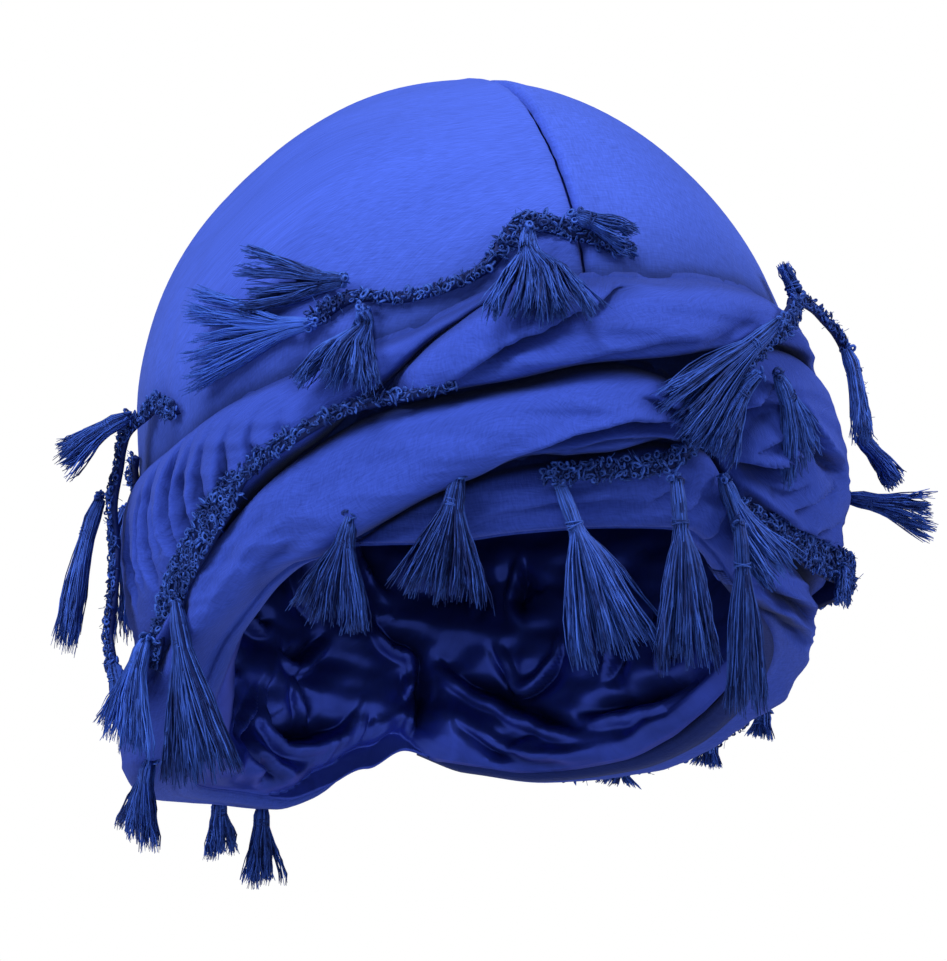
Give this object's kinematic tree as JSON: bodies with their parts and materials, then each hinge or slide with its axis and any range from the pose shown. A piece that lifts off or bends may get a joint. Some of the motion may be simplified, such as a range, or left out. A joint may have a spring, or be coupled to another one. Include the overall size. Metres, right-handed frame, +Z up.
{
  "type": "tasselled durag",
  "caption": "Ready-tied durag head wrap with a close cotton crown, cloth turns round the brow and nape, a satin lining and crocheted trim with tassels.",
  "frame": {"origin": "middle of the head opening at brow height, where a head carries the wrap", "axes": "-Y is the front of the wrap, +X is the wearer's left, +Z is up as worn"},
  "size_m": [0.2094, 0.2191, 0.1973],
  "materials": {
    "cotton": "matt woven cotton, royal blue",
    "satin": "glossy satin, deep royal blue",
    "thread": "twisted viscose thread, dark blue with a soft sheen"
  },
  "bodies": {
    "root": {"crown_panel_right": "cotton", "crown_panel_left": "cotton", "satin_lining": "satin", "upper_turn": "cotton", "side_gather": "cotton", "middle_turn": "cotton", "front_rim": "cotton", "left_gather": "cotton", "low_turn": "cotton", "upper_trim": "thread", "middle_trim": "thread", "front_trim": "thread", "right_loop_trim": "thread", "low_trim": "thread", "side_trim": "thread", "back_trim": "thread", "nape_trim": "thread", "tassel_01": "thread", "tassel_02": "thread", "tassel_03": "thread", "tassel_04": "thread", "tassel_05": "thread", "tassel_06": "thread", "tassel_07": "thread", "tassel_08": "thread", "tassel_09": "thread", "tassel_10": "thread", "tassel_11": "thread", "tassel_12": "thread", "tassel_13": "thread", "tassel_14": "thread", "tassel_15": "thread", "tassel_16": "thread", "tassel_17": "thread", "tassel_18": "thread", "tassel_19": "thread", "tassel_20": "thread", "tassel_21": "thread", "tassel_22": "thread", "tassel_23": "thread", "tassel_24": "thread", "tassel_25": "thread", "tassel_26": "thread", "tassel_27": "thread", "tassel_28": "thread", "tassel_29": "thread", "tassel_30": "thread", "tassel_31": "thread", "tassel_32": "thread", "tassel_33": "thread", "tassel_34": "thread", "tassel_35": "thread"}
  },
  "joints": []
}
